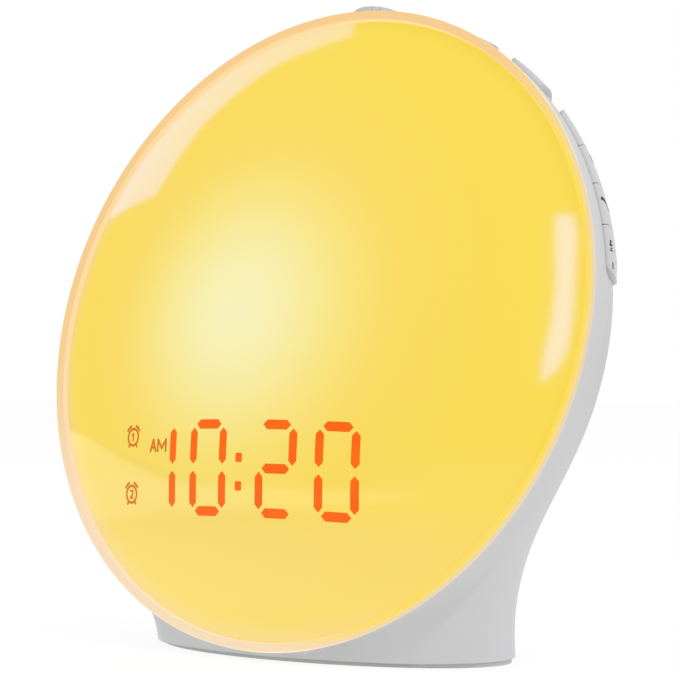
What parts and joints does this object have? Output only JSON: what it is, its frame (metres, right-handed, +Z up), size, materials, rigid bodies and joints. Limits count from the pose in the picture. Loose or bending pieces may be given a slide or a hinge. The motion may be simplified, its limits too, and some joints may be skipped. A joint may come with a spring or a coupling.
{
  "type": "sunrise alarm clock",
  "caption": "Sunrise alarm clock: a leaning round light disc with a lit time, a flared foot, keys round the edge and a ribbed knob on top.",
  "frame": {"origin": "centre of the foot, on the table, on the underside of the anti-slip pad", "axes": "+X to the right of someone looking at the lit face, the lit face looks towards -Y and leans back, +Z up"},
  "size_m": [0.1776, 0.0721, 0.1775],
  "materials": {
    "housing": "fine satin, neutral light grey",
    "rim": "clear-edged, lit from within, warm amber",
    "dome": "smooth diffusing plastic, glowing warm yellow",
    "lit_time": "smooth, glowing orange",
    "lit_symbols": "smooth, dimly glowing orange",
    "white_plastic": "plain white, satin",
    "circuit_board": "green solder mask, satin",
    "white_board": "white solder mask, satin",
    "diodes": "pale yellow resin",
    "dark_plastic": "plain black, fine grain",
    "steel": "zinc or nickel plated",
    "basket_steel": "thin black paint",
    "magnet": "plated, slightly dull",
    "cone": "dull black, soft surround",
    "gasket": "dull foam rubber",
    "base_plastic": "fine grain, light grey",
    "pad_rubber": "matte, grey-green",
    "key_plastic": "fine satin, neutral light grey"
  },
  "bodies": {
    "clock": {"housing": "housing", "bezel_ring": "rim", "front_dome": "dome", "time_digits": "lit_time", "alarm_symbols": "lit_symbols", "display_shroud": "white_plastic", "display_board": "circuit_board", "display_leds": "diodes", "reflector_tray": "white_plastic", "tray_screws": "steel", "light_board": "white_board", "light_leds": "diodes", "main_board": "circuit_board", "main_board_chips": "dark_plastic", "main_board_screws": "steel", "base_plate": "base_plastic", "base_screws": "steel", "base_pad": "pad_rubber", "power_board": "circuit_board", "power_board_screws": "steel", "port_panel": "housing", "dc_jack": "dark_plastic", "dc_jack_pin": "steel", "usb_shell": "steel", "usb_tongue": "white_plastic", "antenna_gland": "dark_plastic", "speaker_grille": "housing", "speaker_gasket": "gasket", "speaker_basket": "basket_steel", "speaker_cone": "cone", "speaker_magnet": "magnet", "cell_holder": "dark_plastic", "coin_cell": "steel", "battery_door": "base_plastic", "battery_door_screw": "steel", "encoder_board": "circuit_board", "encoder_body": "steel", "key_board_right": "circuit_board", "key_board_left": "circuit_board", "key_switches_right": "dark_plastic", "key_switches_left": "dark_plastic"},
    "key_right_1": {"key_right_1": "key_plastic"},
    "key_right_2": {"key_right_2": "key_plastic"},
    "key_right_3": {"key_right_3": "key_plastic"},
    "key_right_4": {"key_right_4": "key_plastic"},
    "key_right_5": {"key_right_5": "key_plastic"},
    "key_right_6": {"key_right_6": "key_plastic"},
    "key_left_1": {"key_left_1": "key_plastic"},
    "key_left_2": {"key_left_2": "key_plastic"},
    "key_left_3": {"key_left_3": "key_plastic"},
    "key_left_4": {"key_left_4": "key_plastic"},
    "key_left_5": {"key_left_5": "key_plastic"},
    "key_left_6": {"key_left_6": "key_plastic"},
    "knob_press": {"encoder_plunger": "dark_plastic"},
    "knob": {"encoder_shaft": "steel", "knob_cap": "housing"}
  },
  "joints": [
    {"name": "press_right_1", "type": "slide", "parent": "clock", "child": "key_right_1", "axis": [-0.4035, -0.2213, -0.8878], "range_m": [0, 0.0008], "stiffness_N_per_m": 800, "springref_m": -0.001},
    {"name": "press_right_2", "type": "slide", "parent": "clock", "child": "key_right_2", "axis": [-0.6239, -0.1891, -0.7583], "range_m": [0, 0.0008], "stiffness_N_per_m": 800, "springref_m": -0.001},
    {"name": "press_right_3", "type": "slide", "parent": "clock", "child": "key_right_3", "axis": [-0.7971, -0.1461, -0.586], "range_m": [0, 0.0008], "stiffness_N_per_m": 800, "springref_m": -0.001},
    {"name": "press_right_4", "type": "slide", "parent": "clock", "child": "key_right_4", "axis": [-0.8753, -0.117, -0.4693], "range_m": [0, 0.0008], "stiffness_N_per_m": 800, "springref_m": -0.001},
    {"name": "press_right_5", "type": "slide", "parent": "clock", "child": "key_right_5", "axis": [-0.9325, -0.0874, -0.3505], "range_m": [0, 0.0008], "stiffness_N_per_m": 800, "springref_m": -0.001},
    {"name": "press_right_6", "type": "slide", "parent": "clock", "child": "key_right_6", "axis": [-0.9746, -0.0542, -0.2174], "range_m": [0, 0.0008], "stiffness_N_per_m": 800, "springref_m": -0.001},
    {"name": "press_left_1", "type": "slide", "parent": "clock", "child": "key_left_1", "axis": [0.4035, -0.2213, -0.8878], "range_m": [0, 0.0008], "stiffness_N_per_m": 800, "springref_m": -0.001},
    {"name": "press_left_2", "type": "slide", "parent": "clock", "child": "key_left_2", "axis": [0.6239, -0.1891, -0.7583], "range_m": [0, 0.0008], "stiffness_N_per_m": 800, "springref_m": -0.001},
    {"name": "press_left_3", "type": "slide", "parent": "clock", "child": "key_left_3", "axis": [0.7971, -0.1461, -0.586], "range_m": [0, 0.0008], "stiffness_N_per_m": 800, "springref_m": -0.001},
    {"name": "press_left_4", "type": "slide", "parent": "clock", "child": "key_left_4", "axis": [0.8753, -0.117, -0.4693], "range_m": [0, 0.0008], "stiffness_N_per_m": 800, "springref_m": -0.001},
    {"name": "press_left_5", "type": "slide", "parent": "clock", "child": "key_left_5", "axis": [0.9325, -0.0874, -0.3505], "range_m": [0, 0.0008], "stiffness_N_per_m": 800, "springref_m": -0.001},
    {"name": "press_left_6", "type": "slide", "parent": "clock", "child": "key_left_6", "axis": [0.9746, -0.0542, -0.2174], "range_m": [0, 0.0008], "stiffness_N_per_m": 800, "springref_m": -0.001},
    {"name": "press_knob", "type": "slide", "parent": "clock", "child": "knob_press", "axis": [0, -0.2419, -0.9703], "range_m": [0, 0.0008], "stiffness_N_per_m": 1200, "springref_m": -0.001},
    {"name": "turn_knob", "type": "hinge", "parent": "knob_press", "child": "knob", "pos_m": [0, 0.02244, 0.17586], "axis": [0, 0.2419, 0.9703], "continuous": true}
  ]
}
